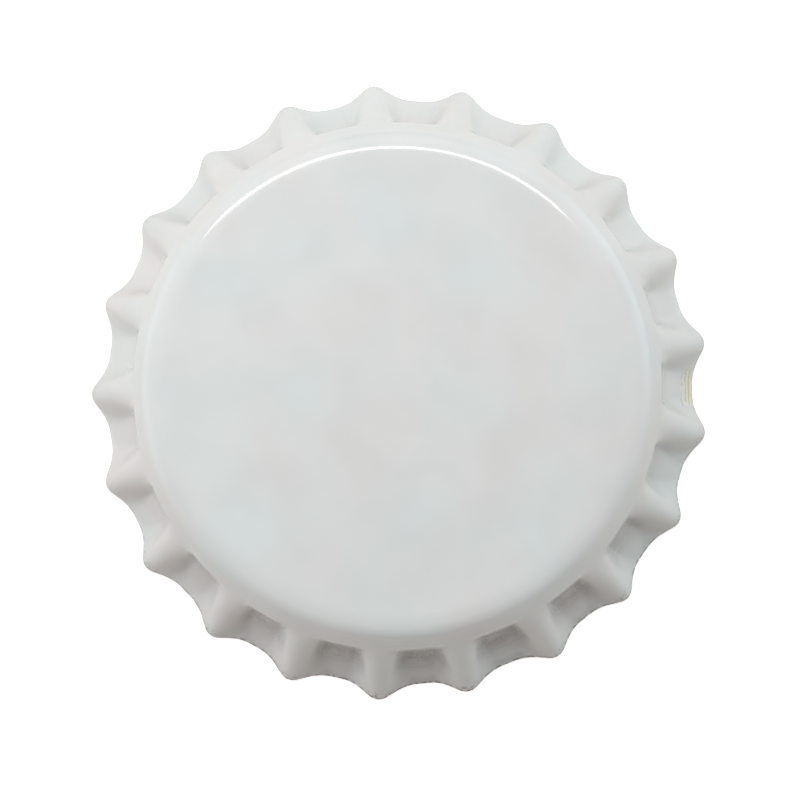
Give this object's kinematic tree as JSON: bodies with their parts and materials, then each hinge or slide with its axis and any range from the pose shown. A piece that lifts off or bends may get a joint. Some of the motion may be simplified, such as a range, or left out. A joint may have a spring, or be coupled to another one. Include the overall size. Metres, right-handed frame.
{
  "type": "bottle cap",
  "caption": "Crown cap for a bottle: one pressed sheet with a flat panel, a round shoulder and a flared, fluted skirt, and a moulded sealing liner inside.",
  "frame": {"origin": "centre of the rim's plane, on the cap's axis", "axes": "+Z along the axis, out of the panel; +X through the crest of one tooth"},
  "size_m": [0.032, 0.032, 0.006],
  "materials": {
    "lacquered_steel": "gloss",
    "liner": "satin"
  },
  "bodies": {
    "root": {"shell": "lacquered_steel", "liner": "liner"}
  },
  "joints": []
}
